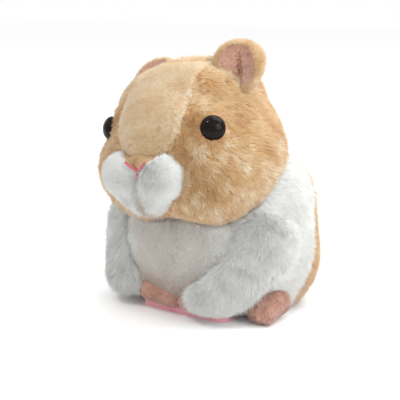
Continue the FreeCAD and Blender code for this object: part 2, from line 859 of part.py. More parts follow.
def body_egg(inset):
    """The body's rounded outside, smaller by an inset, standing on the sole."""
    torso = egg(f"body_half_width - {inset}", f"body_half_depth - {inset}", f"body_half_height - {inset}", "0",
                "body_y", "body_z", -1)
    haunches = []
    for side in (-1, 1):
        haunches.append(egg(f"haunch_half_width - {inset}", f"haunch_half_width - {inset}",
                            f"haunch_half_height - {inset}", f"{side} * haunch_x", "haunch_y", "haunch_z"))
    below = block("4 * body_half_width", "4 * body_half_depth", "2 * body_half_height", "0", "0",
                  "sole_thickness - 2 * body_half_height")
    neck = egg("head_half_width + neck_gap / 4", "head_half_depth + neck_gap", "head_half_height + neck_gap",
               "0", "head_y", "head_z")
    return cut(join(torso, *haunches), below, neck)


def plush_body():
    """Filling and the two sewn panels of the body's outside, hollowed for the shell, neck and button."""
    shell = shell_solid("0", "(sole_thickness - felt_thickness)", "shell_top")
    column = block("neck_hole_width", "neck_hole_length", "body_half_height", "(case_left_x + case_right_x) / 2",
                   "pivot_y", "shell_top")
    pocket_front = f"{SHELL_FRONT_Y} - button_stand_off - button_cap_length - button_pocket_gap"
    pocket_length = "shell_wall + button_stand_off + button_cap_length"
    button_room = rod("button_radius + button_pocket_gap", pocket_length, "y", "button_x", pocket_front, "button_z")
    keep(cut(body_egg("pile"), shell, column, button_room), "body_stuffing")
    for label, side in (("body_cover", -1), ("back_panel", 1)):
        half = block("4 * body_half_width", "2 * body_half_depth", "4 * body_half_height", "0",
                     f"back_panel_y + {side} * body_half_depth", "-body_half_height")
        keep(overlap(cut(body_egg("0"), body_egg("pile"), shell), half), label)


def capsule(radius, start, end):
    """A rod with round ends between two points given by the sheet's aliases."""
    first = FreeCAD.Vector(*(evaluate(text) for text in start))
    last = FreeCAD.Vector(*(evaluate(text) for text in end))
    middle = doc.addObject("Part::Cylinder", "middle")
    bind(middle, "Radius", radius)
    middle.Height = (last - first).Length
    middle.Placement = FreeCAD.Placement(first, FreeCAD.Rotation(FreeCAD.Vector(0, 0, 1), last - first))
    return join(middle, ball(radius, *start), ball(radius, *end))


def evaluate(formula):
    """The number that a formula of aliases stands for, read through a spare cell."""
    sheet.set("D1", f"={formula}")
    sheet.recompute()
    return float(sheet.get("D1"))


def mirrored(item):
    """The same solid on the pet's other side."""
    other = doc.addObject("Part::Mirroring", "mirrored")
    other.Source = item
    other.Normal = FreeCAD.Vector(1, 0, 0)
    return other


def limbs():
    """Arm, paw and hind foot of the left side, each mirrored to the right."""
    shoulder = ("arm_shoulder_x", "arm_shoulder_y", "arm_shoulder_z")
    wrist = ("arm_wrist_x", "arm_wrist_y", "arm_wrist_z")
    paw_z = "sole_thickness + paw_radius"
    paw = capsule("paw_radius", ("paw_inner_x", "paw_y", paw_z), ("paw_outer_x", "paw_y", paw_z))
    foot_z = "foot_radius + foot_floor_gap"
    foot = capsule("foot_radius", ("foot_x", "foot_y", foot_z), ("foot_x", "foot_y + foot_reach", foot_z))
    for name, solid in (
        ("arm", cut(capsule("arm_radius", shoulder, wrist), body_egg("0"))),
        ("paw", cut(paw, capsule("arm_radius", shoulder, wrist), body_egg("0"))),
        ("hind_foot", cut(foot, capsule("arm_radius", shoulder, wrist), body_egg("0"))),
    ):
        keep(solid, f"left_{name}")
        keep(mirrored(solid), f"right_{name}")
    keep(cut(ball("tail_radius", "0", "tail_y", "tail_z"), body_egg("0")), "tail")


# ---- the head


def on_head(item, local=None):
    """Set a solid that was modelled about the head's centre in its place, with the head's slight roll."""
    centre = FreeCAD.Vector(0, size("head_y"), size("head_z"))
    roll = FreeCAD.Rotation(FreeCAD.Vector(0, 1, 0), -size("head_roll"))
    item.Placement = FreeCAD.Placement(centre, roll).multiply(local or FreeCAD.Placement())
    return item


def skull():
    """A stiff cap in two halves that carries the head's plush on the rocker's flange."""
    for label, side in (("skull_front", -1), ("skull_rear", 1)):
        outer = egg("skull_half_width", "skull_half_depth", "skull_half_height", "0", "head_y", "head_z")
        inner = egg("skull_half_width - skull_wall", "skull_half_depth - skull_wall",
                    "skull_half_height - skull_wall", "0", "head_y", "head_z")
        half = block("2 * skull_half_width", "skull_half_depth", "2 * skull_half_height", "0",
                     f"head_y + {side} * skull_half_depth / 2", "skull_rim_z")
        keep(overlap(cut(outer, inner), half), label)


def head_egg(inset):
    """The head's rounded outside about its own centre, smaller by an inset."""
    return egg(f"head_half_width - {inset}", f"head_half_depth - {inset}", f"head_half_height - {inset}")


def neck_hole():
    """The opening under the head, in the head's own unrolled frame."""
    return rod("head_hole_radius", "2 * head_half_height", "z", "0", "pivot_y - head_y - neck_hole_shift",
               "skull_rim_z - head_z - 2 * head_half_height + neck_hole_rise")


def eye_frame(side):
    """Where an eye sits: its z axis points out of the head along the rounded outside's normal."""
    point = FreeCAD.Vector(side * size("eye_x"), size("eye_y"), size("eye_z"))
    normal = FreeCAD.Vector(
        point.x / size("head_half_width") ** 2,
        point.y / size("head_half_depth") ** 2,
        point.z / size("head_half_height") ** 2,
    )
    return FreeCAD.Placement(point, FreeCAD.Rotation(FreeCAD.Vector(0, 0, 1), normal))


def eye():
    """A domed button with a stem behind it."""
    below = block("4 * eye_radius", "4 * eye_radius", "2 * eye_dome", z="-2 * eye_dome")
    dome = cut(egg("eye_radius", "eye_radius", "eye_dome"), below)
    stem = rod("eye_stem_radius", "eye_stem_length", "z", "0", "0", "-eye_stem_length")
    return join(dome, stem)


def washer():
    ring = rod("washer_radius", "washer_thickness", "z", "0", "0", "-washer_depth")
    hole = rod("eye_stem_radius", "3 * washer_thickness", "z", "0", "0", "-washer_depth - washer_thickness")
    return cut(ring, hole)


def eye_room(side):
    """The space that an eye and its washer take out of the plush, in the head's own frame."""
    dome = rod("eye_radius", "4 * eye_dome")
    stem = rod("eye_stem_radius", "eye_stem_length", "z", "0", "0", "-eye_stem_length")
    ring = rod("washer_radius", "washer_thickness", "z", "0", "0", "-washer_depth")
    room = join(dome, stem, ring)
    room.Placement = eye_frame(side)
    return room


def eyes():
    for label, side in (("left_eye", 1), ("right_eye", -1)):
        keep(on_head(eye(), eye_frame(side)), label)
    keep(group(*(on_head(washer(), eye_frame(side)) for side in (1, -1))), "eye_washers")


def head_plush():
    """Filling, the furry outside and its separate forehead panel."""
    room = egg("skull_half_width + skull_room", "skull_half_depth + skull_room",
               "skull_half_height + skull_room")
    filling = cut(head_egg("pile"), room, neck_hole(), eye_room(1), eye_room(-1))
    keep(on_head(filling), "head_stuffing")
    panel_room = block("2 * forehead_half_width", "head_half_depth + ear_y", "2 * head_half_height", "0",
                       "(ear_y - head_half_depth) / 2", "nose_z")
    for label, chosen in (("head_cover", cut), ("forehead_panel", overlap)):
        skin = cut(head_egg("0"), head_egg("pile"), neck_hole(), eye_room(1), eye_room(-1))
        keep(on_head(chosen(skin, panel_room)), label)


def muzzle_puffs():
    puffs = []
    for side in (-1, 1):
        puffs.append(egg("muzzle_half_width", "muzzle_half_depth", "muzzle_half_height", f"{side} * muzzle_x",
                         "muzzle_y", "muzzle_z"))
    return join(*puffs)


def muzzle():
    keep(on_head(cut(muzzle_puffs(), head_egg("0"))), "muzzle")


def strand(start, end):
    """A straight stitch of thread between two points."""
    first = FreeCAD.Vector(*(evaluate(text) for text in start))
    last = FreeCAD.Vector(*(evaluate(text) for text in end))
    item = doc.addObject("Part::Cylinder", "strand")
    bind(item, "Radius", "thread_radius")
    item.Height = (last - first).Length
    item.Placement = FreeCAD.Placement(first, FreeCAD.Rotation(FreeCAD.Vector(0, 0, 1), last - first))
    return item


def nose_stitching():
    """A V of thread over the muzzle with a short line under it."""
    line_top = ("0", "nose_y", "nose_z - stitch_gap")
    line_foot = ("0", "nose_y + thread_radius", "nose_z - 2 * nose_reach")
    stitches = [strand(line_top, line_foot)]
    for side in (-1, 1):
        start = (f"{side} * stitch_gap / 2", "nose_y", "nose_z")
        end = (f"{side} * nose_reach", "nose_y - nose_side_step", "nose_z + nose_rise")
        stitches.append(strand(start, end))
    keep(on_head(group(*stitches)), "nose_stitching")


def ear_egg():
    return egg("ear_half_width", "ear_half_depth", "ear_half_height")


def ear_lining_egg():
    return egg("lining_half_width", "lining_depth", "lining_half_height", "0", "-ear_half_depth")


def ears():
    """Each ear is a flattened egg with a lining let into its front; it leans back by its own angle."""
    for label, side in (("left", 1), ("right", -1)):
        foot = FreeCAD.Vector(side * size("ear_x"), size("ear_y"), size("ear_z") - size("ear_half_height") / 2)
        turn = FreeCAD.Rotation(FreeCAD.Vector(0, 0, 1), side * size("ear_turn"))
        lean = turn.multiply(FreeCAD.Rotation(FreeCAD.Vector(1, 0, 0), -size(f"{label}_ear_lean")))
        raised = FreeCAD.Placement(FreeCAD.Vector(0, 0, size("ear_half_height") / 2), FreeCAD.Rotation())
        stand = FreeCAD.Placement(foot, lean).multiply(raised)
        for name, solid in (
            (f"{label}_ear", cut(ear_egg(), ear_lining_egg())),
            (f"{label}_ear_lining", overlap(ear_egg(), ear_lining_egg())),
        ):
            solid.Placement = stand
            keep(on_head(cut(solid, head_egg("0"))), name)


# ---- build, check and write


def faults(item):
    shape = item.Shape
    if "Invalid" in item.State or "Error" in item.State:
        return "failed to compute"
    if shape.isNull() or not shape.Solids:
        return "has no solid"
    if not shape.isValid():
        return "is not valid"
    return ""


sole_felt()
base_plate()
battery_box()
battery_door()
door_screw()
for number in range(3):
    cell(number)
contacts()
switch_housing()
switch_knob()
shell_halves()
gear_case()
gear_train()
head_rocker()
motor()
electronics()
tummy_button()
plush_body()
limbs()
skull()
eyes()
head_plush()
muzzle()
nose_stitching()
ears()
doc.recompute()

for item in doc.Objects:
    if "Invalid" in item.State or "Error" in item.State:
        raise RuntimeError(f"{item.Label} ({item.TypeId}) failed to compute")
for item in nodes:
    fault = faults(item)
    if fault:
        raise RuntimeError(f"{item.Label} {fault}")

os.makedirs("parts", exist_ok=True)
for item in nodes:
    item.Shape.exportStep(os.path.join("parts", f"{item.Label}.step"))
print(f"{len(nodes)} sub-parts written")
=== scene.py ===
"""A plush hamster: stuffed skins grown from rounded forms, covered with tufted pile, over the CAD mechanism."""
import json
import math

import bmesh
import bpy
import numpy as np
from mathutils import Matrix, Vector


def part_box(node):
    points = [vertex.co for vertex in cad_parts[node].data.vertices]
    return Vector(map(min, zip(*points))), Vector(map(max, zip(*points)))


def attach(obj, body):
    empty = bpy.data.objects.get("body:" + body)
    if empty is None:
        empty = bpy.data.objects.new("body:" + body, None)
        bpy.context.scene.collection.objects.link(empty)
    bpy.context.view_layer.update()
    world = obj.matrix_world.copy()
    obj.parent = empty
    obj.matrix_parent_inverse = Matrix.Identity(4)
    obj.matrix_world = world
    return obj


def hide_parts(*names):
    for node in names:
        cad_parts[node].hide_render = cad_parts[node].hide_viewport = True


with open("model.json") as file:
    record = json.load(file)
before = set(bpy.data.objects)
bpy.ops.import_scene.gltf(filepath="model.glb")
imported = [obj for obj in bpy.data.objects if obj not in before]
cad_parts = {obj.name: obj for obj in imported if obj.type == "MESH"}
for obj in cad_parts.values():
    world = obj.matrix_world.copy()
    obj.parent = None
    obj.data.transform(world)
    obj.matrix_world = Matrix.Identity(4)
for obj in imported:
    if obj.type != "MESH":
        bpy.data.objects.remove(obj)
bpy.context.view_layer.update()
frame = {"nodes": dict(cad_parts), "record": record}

MM = 0.001
TAU = math.tau


# ---- places, in millimetres, read from the frame

def box_mm(*names):
    """The lowest and highest corner of some CAD nodes together, in millimetres."""
    corners = [np.array(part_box(name)) / MM for name in names]
    return np.min([c[0] for c in corners], axis=0), np.max([c[1] for c in corners], axis=0)


def middle_of(name):
    low, high = box_mm(name)
    return (low + high) / 2


def on_side(point, side):
    """A point given for the pet's left, +x, side; side -1 mirrors it to the right."""
    return np.array(point, float) * np.array([side, 1, 1])


SIDES = ((1, "left"), (-1, "right"))
CROWN_HEIGHT = 38.6      # from the head's centre up to its top
HEAD_LOW, HEAD_HIGH = box_mm("head_cover", "forehead_panel")
HEAD_ROLL = math.radians(5)
HEAD = np.array([0.0, (HEAD_LOW[1] + HEAD_HIGH[1]) / 2, HEAD_HIGH[2] - CROWN_HEIGHT])
BODY = np.array([0.0, 9.5, 36.0])
SOLE_TOP = box_mm("sole_felt")[1][2]
BACK_PANEL_Y = box_mm("back_panel")[0][1]


def to_head(points):
    """World points seen from the head's centre, with the head's roll taken off."""
    p = points - HEAD
    c, s = math.cos(HEAD_ROLL), math.sin(HEAD_ROLL)
    return np.stack([c * p[:, 0] + s * p[:, 2], p[:, 1], -s * p[:, 0] + c * p[:, 2]], axis=1)


def from_head(points):
    """The way back from to_head()."""
    c, s = math.cos(HEAD_ROLL), math.sin(HEAD_ROLL)
    p = np.atleast_2d(points)
    turned = np.stack([c * p[:, 0] - s * p[:, 2], p[:, 1], s * p[:, 0] + c * p[:, 2]], axis=1)
    return turned + HEAD


# ---- rounded forms as distances, negative inside

def unit(v):
    return v / np.maximum(np.linalg.norm(v, axis=-1, keepdims=True), 1e-9)


def egg(p, centre, semi, square=2.0):
    """An ellipsoid; a square above 2 makes it boxier."""
    q = np.abs(p - np.array(centre, float))
    semi = np.array(semi, float)
    near = np.maximum(((q / semi) ** square).sum(axis=1) ** (1 / square), 1e-6)
    slope = np.linalg.norm((q / semi) ** (square - 1) / semi, axis=1) / near ** (square - 1)
    return (near - 1) / np.maximum(slope, 1e-9)


def limb(p, start, end, radius, end_radius):
    """A round-ended rod between two points that tapers from one radius to the other."""
    start, end = np.array(start, float), np.array(end, float)
    along = np.clip((p - start) @ (end - start) / ((end - start) @ (end - start)), 0, 1)
    taper = radius + along * (end_radius - radius)
    return np.linalg.norm(p - start - along[:, None] * (end - start), axis=1) - taper


def melt(a, b, width):
    """Two forms joined with a soft valley."""
    h = np.clip(0.5 + 0.5 * (b - a) / width, 0, 1)
    return b * (1 - h) + a * h - width * h * (1 - h)


def carve(a, b, width):
    """The first form without the second, with a rounded edge."""
    return -melt(-a, b, width)


def fade(value, start, end):
    """0 up to the start and 1 beyond the end, straight between them; the end may be the lower one."""
    return np.clip((value - start) / (end - start), 0, 1)


def bump(distance, reach):
    """1 at a place, falling smoothly to 0 at its reach."""
    t = np.clip(1 - np.abs(distance) / reach, 0, 1)
    return t * t * (3 - 2 * t)


def ripple(points, scale, seed, waves=26):
    """Smooth random unevenness between about -1 and 1, with hills about a scale apart."""
    rng = np.random.default_rng(seed)
    ways = unit(rng.normal(size=(waves, 3))) * TAU / (scale * rng.uniform(0.7, 1.5, (waves, 1)))
    return np.sin(points @ ways.T + rng.uniform(0, TAU, waves)).sum(axis=1) / math.sqrt(waves / 2) / 1.6


def wander(points, scale, seed):
    """A way that strays smoothly over the surface, as three ripples of neighbouring seeds."""
    return np.stack([ripple(points, scale, seed + axis) for axis in range(3)], axis=1)


# ---- the shapes of the plush, in millimetres
# An egg is its centre, half sizes and, where it is boxier, squareness; paired ones are given for the left side.

LOWER_HEAD = ((0, 0, -9), (43.5, 40, 31), 2.1)
UPPER_HEAD = ((0, 2, 10), (32, 30, 26.5), 2.8)
CHEEK = ((18.5, -11, -16), (23.5, 26, 24))
JAW = ((0, -22, -16), (24, 21.5, 17))
BROW = ((0, -20, 4), (24, 22, 20))
SEAM_HEIGHTS = [-14, -8, -2, 6, 16, 26, 38]
SEAM_WIDTHS = [4, 8, 13.5, 18, 18.5, 18, 17]
SEAM_DEPTH = 0.8
SEAM_TOP = 24

EYE_SEAT = np.array([31.0, -27.2, 6.7])
EYE_WAY = unit(EYE_SEAT / np.array([50.0, 45.0, 38.5]) ** 2)
EYES = from_head(np.array([EYE_SEAT, on_side(EYE_SEAT, -1)]))
EYE_CLEARING = 6.0
EYE_MOUND_DEPTH = 8
EYE_MOUND = (7.8, 7.8, 7.8)

MUZZLE_SHIFT = np.array([-1.4, 0, 0])
PUFF_TOP = ((11.4, -39.0, -14.0), (10.0, 9.8, 9.6), 2.2)
PUFF_FOOT = ((5.6, -39.0, -21.5), (7.5, 8.4, 8.0))
CHIN = ((-1.4, -37.5, -27), (7.0, 7.5, 6.0))
BRIDGE = ((0, -37.0, -9.0), (9, 8.6, 7.5))
BRIDGE_FOOT_Z = -12
BRIDGE_SLOPE = 0.62
BRIDGE_HALF_WIDTH = 13

TORSO = ((0, -1, 0), (47.5, 42.0, 47))
SHOULDER = ((22, 11, 15), (26, 28, 30))
HAUNCH = ((23, 13, -12), (26.5, 27, 26))
ARM_RADIUS = 14.0
WRIST_RADIUS = 10.0
LEFT_ARM = ((35.5, -5.0, 40.0), (20.5, -19.5, 15.0))
RIGHT_ARM = ((-37.5, -6.0, 42.0), (-33.5, -18.5, 16.5))
RIGHT_ELBOW = ((-37.5, -8.5, 15.5), (12.5, 12.5, 12))
NECK_GAP = 1.5

FOOT_MIDDLE = {1: 42.0, -1: 38.0}
PAW_INNER = {1: 6.0, -1: 3.0}
TOE_SPACING = 4.2
TOE = (2.9, 5.0, 4.9)
TAIL = ((0, 48, 13), (0, 53.5, 15))

EAR_FOOT = (30.0, -2.0, 22.0)
EAR_LEAN = {1: math.radians(8), -1: math.radians(50)}
EAR_TURN = math.radians(14)
EAR_LOWER = ((0, 0, 9.0), (9.8, 5.6, 11.5))
EAR_UPPER = ((0.4, 0.3, 13.5), (12.2, 5.6, 9.6), 2.2)
EAR_HOLLOW = ((0.4, -6.6, 10.8), (8.6, 6.4, 10.4), 2.3)
EAR_FOLD = ((0.4, -1.2, 9.0), (0.7, 2.4, 6.0))


def egg_pair(p, shape, side, shift=0):
    centre, *rest = shape
    return egg(p, on_side(centre, side) + shift, *rest)


def seam_x(p):
    """How far the seam stands from the middle, by height on the head."""
    return np.interp(p[:, 2], SEAM_HEIGHTS, SEAM_WIDTHS)


def seam_distance(p):
    """How far a point of the head is from the forehead panel's seam."""
    return np.abs(np.abs(p[:, 0]) - seam_x(p))


def head_form(world):
    p = to_head(world)
    form = melt(egg(p, *LOWER_HEAD), egg(p, *UPPER_HEAD), 12)
    for side in (-1, 1):
        form = melt(form, egg_pair(p, CHEEK, side), 8)
        form = melt(form, egg(p, on_side(EYE_SEAT - EYE_MOUND_DEPTH * EYE_WAY, side), EYE_MOUND), 6)
    form = melt(form, egg(p, *JAW), 8)
    form = melt(form, egg(p, *BROW), 10)
    front = fade(p[:, 1], -4, -16)
    groove = bump(seam_distance(p), 2.0) * front * fade(p[:, 2], SEAM_TOP, SEAM_TOP - 8)
    form = form + SEAM_DEPTH * groove
    creases = ripple(p * np.array([0.35, 1, 1]), 7, 5) * bump(p[:, 2] + 2, 11) * front * bump(p[:, 0], 15)
    return form + 0.5 * creases + 0.4 * ripple(p, 26, 6)


def muzzle_form(world):
    """Two puffs, a bridge that the nose is stitched on, and a small chin."""
    p = to_head(world)
    puffs = [melt(egg_pair(p, PUFF_TOP, side, MUZZLE_SHIFT), egg_pair(p, PUFF_FOOT, side, MUZZLE_SHIFT), 5)
             for side in (-1, 1)]
    form = melt(*puffs, 2.4)
    form = melt(form, egg(p, *CHIN), 4.0)
    return melt(form, egg(p, *BRIDGE), 3.0)


def on_bridge(world):
    """The tan wedge between the tops of the puffs."""
    p = to_head(world)
    across = np.abs(p[:, 0])
    return (p[:, 2] > BRIDGE_FOOT_Z + BRIDGE_SLOPE * across) & (across < BRIDGE_HALF_WIDTH)


def torso_form(world):
    p = world - BODY
    form = egg(p, *TORSO)
    for side in (-1, 1):
        form = melt(form, egg_pair(p, SHOULDER, side), 12)
        form = melt(form, egg_pair(p, HAUNCH, side), 12)
    return form


def arm_form(world, side):
    """The pet's left arm reaches further in over the paws than its right, which is fuller at the elbow."""
    if side > 0:
        return limb(world, *LEFT_ARM, ARM_RADIUS, WRIST_RADIUS)
    return melt(limb(world, *RIGHT_ARM, ARM_RADIUS, WRIST_RADIUS), egg(world, *RIGHT_ELBOW), 6)


def body_form(world):
    form = torso_form(world)
    for side in (-1, 1):
        form = melt(form, arm_form(world, side), 9)
    form = form + 0.6 * ripple(world, 24, 8)
    form = np.maximum(form, SOLE_TOP + 0.3 - world[:, 2])
    return carve(form, head_form(world) - NECK_GAP, 2.0)


def paw_form(world, side):
    form = limb(world, (side * PAW_INNER[side], -22.6, 9.4), (side * 18.5, -21.6, 10.4), 5.8, 6.6)
    return np.maximum(form + 0.15 * ripple(world, 7, 3), SOLE_TOP + 0.1 - world[:, 2])


def foot_form(world, side):
    """A short sole with three toes."""
    middle = side * FOOT_MIDDLE[side]
    form = limb(world, (middle, 2, 8.4), (middle, -7, 7.6), 7.6, 7.0)
    for shift in (-TOE_SPACING, 0, TOE_SPACING):
        toe = egg(world, (middle + shift, -11.6 + abs(shift) * 0.25, 5.8), TOE)
        form = melt(form, toe, 2.2)
    return np.maximum(form + 0.15 * ripple(world, 8, 4), 0.7 - world[:, 2])


def tail_form(world):
    return limb(world, *TAIL, 5.4, 4.2)


def ear_form(p):
    """In the ear's own frame: foot at the origin, hollow facing -y, tip up, with a folded crease in the hollow."""
    form = melt(egg(p, *EAR_LOWER), egg(p, *EAR_UPPER), 4)
    form = carve(form, egg(p, *EAR_HOLLOW), 2.6)
    return carve(form, egg(p, *EAR_FOLD), 1.6)


def place_ear(points, side):
    """From the ear's own frame to its place on the head: leaned back, turned out and rolled with the head."""
    c, s = math.cos(EAR_LEAN[side]), math.sin(EAR_LEAN[side])
    p = np.stack([points[:, 0], points[:, 1] * c + points[:, 2] * s, -points[:, 1] * s + points[:, 2] * c], 1)
    c, s = math.cos(EAR_TURN * side), math.sin(EAR_TURN * side)
    p = np.stack([p[:, 0] * c - p[:, 1] * s, p[:, 0] * s + p[:, 1] * c, p[:, 2]], 1)
    return from_head(p + on_side(EAR_FOOT, side))


# ---- meshes

def icosphere(level):
    """The points and triangles of a unit ball."""
    ball = bmesh.new()
    bmesh.ops.create_icosphere(ball, subdivisions=level, radius=1)
    points = np.array([v.co for v in ball.verts])
    faces = np.array([[v.index for v in f.verts] for f in ball.faces])
    ball.free()
    return points, faces


BALLS = {level: icosphere(level) for level in (5, 6, 7)}
HALVINGS = 20          # of the way out, to find where a form's distance crosses zero


def grow(form, centre, level, reach=90.0):
    """The closed skin of a form about a centre: along each way out, where the distance crosses zero."""
    ways, faces = BALLS[level]
    centre = np.array(centre, float)
    low, high = np.zeros(len(ways)), np.full(len(ways), reach)
    for _ in range(HALVINGS):
        half = (low + high) / 2
        inside = form(centre + ways * half[:, None]) < 0
        low, high = np.where(inside, half, low), np.where(inside, high, half)
    return centre + ways * low[:, None], faces


def take(skin, chosen):
    """The part of a skin whose triangles are chosen, by their middles."""
    points, faces = skin
    faces = faces[chosen(points[faces].mean(axis=1))]
    used, faces = np.unique(faces, return_inverse=True)
    return points[used], faces.reshape(-1, 3)


VOXEL = 1.3            # of the remeshed skin, in mm
SETTLING_STEPS = 5
PROBE = 0.05           # how far the form is felt ahead to find its slope
LARGEST_MOVE = 0.8     # of a point in one step
FLATTEST_SLOPE = 0.2   # squared


def weld(skins, form):
    """One closed skin over several overlapping ones, settled towards their common form.

    A point moves SETTLING_STEPS * LARGEST_MOVE at most, so one that starts further off doesn't reach the form.
    """
    counts = np.cumsum([0] + [len(points) for points, _ in skins])
    rough = make_mesh("rough", np.concatenate([points for points, _ in skins]),
                      np.concatenate([faces + start for (_, faces), start in zip(skins, counts)]))
    change = rough.modifiers.new("remesh", "REMESH")
    change.mode = "VOXEL"
    change.voxel_size = VOXEL * MM
    mesh = rough.evaluated_get(bpy.context.evaluated_depsgraph_get()).to_mesh()
    points = np.empty(len(mesh.vertices) * 3)
    mesh.vertices.foreach_get("co", points)
    points = points.reshape(-1, 3) / MM
    mesh.calc_loop_triangles()
    faces = np.empty(len(mesh.loop_triangles) * 3, np.int32)
    mesh.loop_triangles.foreach_get("vertices", faces)
    bpy.data.objects.remove(rough)
    for _ in range(SETTLING_STEPS):
        here = form(points)
        slope = np.stack([form(points + step) - here for step in PROBE * np.eye(3)], axis=1) / PROBE
        steep = np.maximum((slope ** 2).sum(axis=1, keepdims=True), FLATTEST_SLOPE)
        points = points - np.clip(here, -LARGEST_MOVE, LARGEST_MOVE)[:, None] * slope / steep
    return points, faces.reshape(-1, 3)


def make_mesh(name, points, faces, uv=None, normals=None):
    """An object from millimetre points and triangles."""
    mesh = bpy.data.meshes.new(name)
    mesh.vertices.add(len(points))
    mesh.vertices.foreach_set("co", (points * MM).astype(np.float32).ravel())
    mesh.loops.add(faces.size)
    mesh.loops.foreach_set("vertex_index", faces.astype(np.int32).ravel())
    mesh.polygons.add(len(faces))
    mesh.polygons.foreach_set("loop_start", np.arange(0, faces.size, 3, dtype=np.int32))
    mesh.update(calc_edges=True)
    mesh.polygons.foreach_set("use_smooth", np.ones(len(faces), bool))
    if uv is not None:
        layer = mesh.uv_layers.new(name="OFBake")
        layer.uv.foreach_set("vector", uv[faces.ravel()].astype(np.float32).ravel())
    if normals is not None:
        mesh.normals_split_custom_set_from_vertices(normals.astype(np.float32))
    piece = bpy.data.objects.new(name, mesh)
    bpy.context.scene.collection.objects.link(piece)
    return piece


def vertex_normals(points, faces):
    """The outward way at each point, from the triangles about it."""
    a, b, c = (points[faces[:, k]] for k in range(3))
    face_normals = np.cross(b - a, c - a)
    normals = np.zeros_like(points)
    for k in range(3):
        for axis in range(3):
            normals[:, axis] += np.bincount(faces[:, k], face_normals[:, axis], len(points))
    return unit(normals)


# ---- pile

CORNER_TURNS = (0, TAU / 3, 2 * TAU / 3)
SPIKE_SIDES = np.array([[0, 1, 3], [1, 2, 3], [2, 0, 3]])
ROOT_DEPTH = 0.5       # how far a strand starts under the skin, in mm
COMB_STRAY = 0.25      # how far tufts stray from the comb
HUE_STRAY = 0.05       # how far strands stray from their tuft's tone
UV_ROOT, UV_TIP, UV_WIDTH = 0.02, 0.98, 0.0015


def along_skin(way, up):
    return way - (way * up).sum(axis=1, keepdims=True) * up


def scatter(skin, where, count, rng):
    """Random spots on the part of a skin that where() chooses, each with its outward way."""
    points, faces = skin
    normals = vertex_normals(points, faces)
    corners, bends = points[faces], normals[faces]
    area = np.linalg.norm(np.cross(corners[:, 1] - corners[:, 0], corners[:, 2] - corners[:, 0]), axis=1)
    weight = area * where(corners.mean(axis=1))
    chosen = rng.choice(len(weight), count, p=weight / weight.sum())
    share = rng.dirichlet((1, 1, 1), count)[:, :, None]
    return (corners[chosen] * share).sum(axis=1), unit((bends[chosen] * share).sum(axis=1))


def pile(name, skin, where, count, length, comb, tone, material, rise=0.45, width=0.5, tuft=1.3, per_tuft=9,
         pull=0.45, mess=0.22, seed=1):
    """Slim spikes of fur in tufts on the part of a skin that where() chooses, at most about 66,000 of them.

    comb() gives the way they lie, length() how long they are and tone() their place in the material's palette.
    rise lifts them off the skin, tuft is a tuft's radius, pull draws its tips together and mess strays each spike.
    """
    rng = np.random.default_rng(seed)
    tufts = count // per_tuft
    spot, up = scatter(skin, where, tufts, rng)
    way = unit(along_skin(comb(spot), up) + 1e-6) + COMB_STRAY * rng.normal(size=(tufts, 3))
    way = unit(along_skin(way, up))
    side = np.cross(up, way)
    hue = tone(spot, rng)
    tall = length(spot) * rng.uniform(0.8, 1.15, tufts)
    spot, up, way, side, hue, tall = (
        np.repeat(each, per_tuft, axis=0) for each in (spot, up, way, side, hue, tall))

    n = len(spot)
    turn, far = rng.uniform(0, TAU, n), tuft * np.sqrt(rng.random(n))
    shift = way * (far * np.cos(turn))[:, None] + side * (far * np.sin(turn))[:, None]
    tall = (tall * rng.uniform(0.7, 1.1, n))[:, None]
    stray = mess * rng.normal(size=(n, 3))
    along = unit(up * rise + way * (1 - 0.4 * rise) + stray)
    root = spot + shift - ROOT_DEPTH * along
    tip = root + along * tall - shift * pull
    side = unit(np.cross(along, up) + 0.01 * side)
    lift = np.cross(side, along)
    ring = [root + width / 2 * (math.cos(turn) * lift + math.sin(turn) * side) for turn in CORNER_TURNS]
    points = np.stack(ring + [tip], axis=1)
    sides = (4 * np.arange(n)[:, None, None] + SPIKE_SIDES).reshape(-1, 3)

    hue = np.clip(hue + HUE_STRAY * rng.normal(size=n), 0.01, 0.99)
    uv = np.zeros((n, 4, 2))
    uv[:, :, 0] = hue[:, None] + np.array([-1, 0, 1, 0]) * UV_WIDTH
    uv[:, :, 1] = np.array([UV_ROOT, UV_ROOT, UV_ROOT, UV_TIP])
    shade = np.repeat(unit(up + 0.45 * along + 0.2 * rng.normal(size=(n, 3))), 4, axis=0)
    return finish_piece(make_mesh(name, points.reshape(-1, 3), sides, uv.reshape(-1, 2), shade), material)


def finish_piece(piece, material):
    piece.data.materials.clear()
    piece.data.materials.append(material)
    return piece


def coat(body, slot_name, *lay, **lie):
    """A pile that moves with a body; its slot name is not used."""
    fur = pile(*lay, **lie)
    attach(fur, body)
    return fur


def stuffed(name, skin, cloth, body, slot_name, fill, *nodes):
    """A stuffed skin that stands for some CAD nodes."""
    piece = finish_piece(make_mesh(name, *skin), cloth)
    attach(piece, body)
    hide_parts(*nodes)
    return piece


# ---- materials

def rgb(red, green, blue):
    """A colour as the eye names it, in the linear values that shaders take."""
    return tuple(((v / 255 + 0.055) / 1.055) ** 2.4 if v > 10 else v / 255 / 12.92
                 for v in (red, green, blue)) + (1,)


def new_material(name, roughness, **settings):
    """A material, its nodes and links, and its shader with some sockets set, named with _ for a space."""
    material = bpy.data.materials.new(name)
    material.use_nodes = True
    nodes, links = material.node_tree.nodes, material.node_tree.links
    shader = nodes["Principled BSDF"]
    shader.inputs["Roughness"].default_value = roughness
    for socket, value in settings.items():
        shader.inputs[socket.replace("_", " ")].default_value = value
    return material, nodes, links, shader


def ramp(nodes, stops):
    """A colour ramp node with the given (position, colour) stops."""
    node = nodes.new("ShaderNodeValToRGB")
    line = node.color_ramp
    while len(line.elements) < len(stops):
        line.elements.new(0.5)
    for element, (place, colour) in zip(line.elements, stops):
        element.position = place
        element.color = colour
    return node


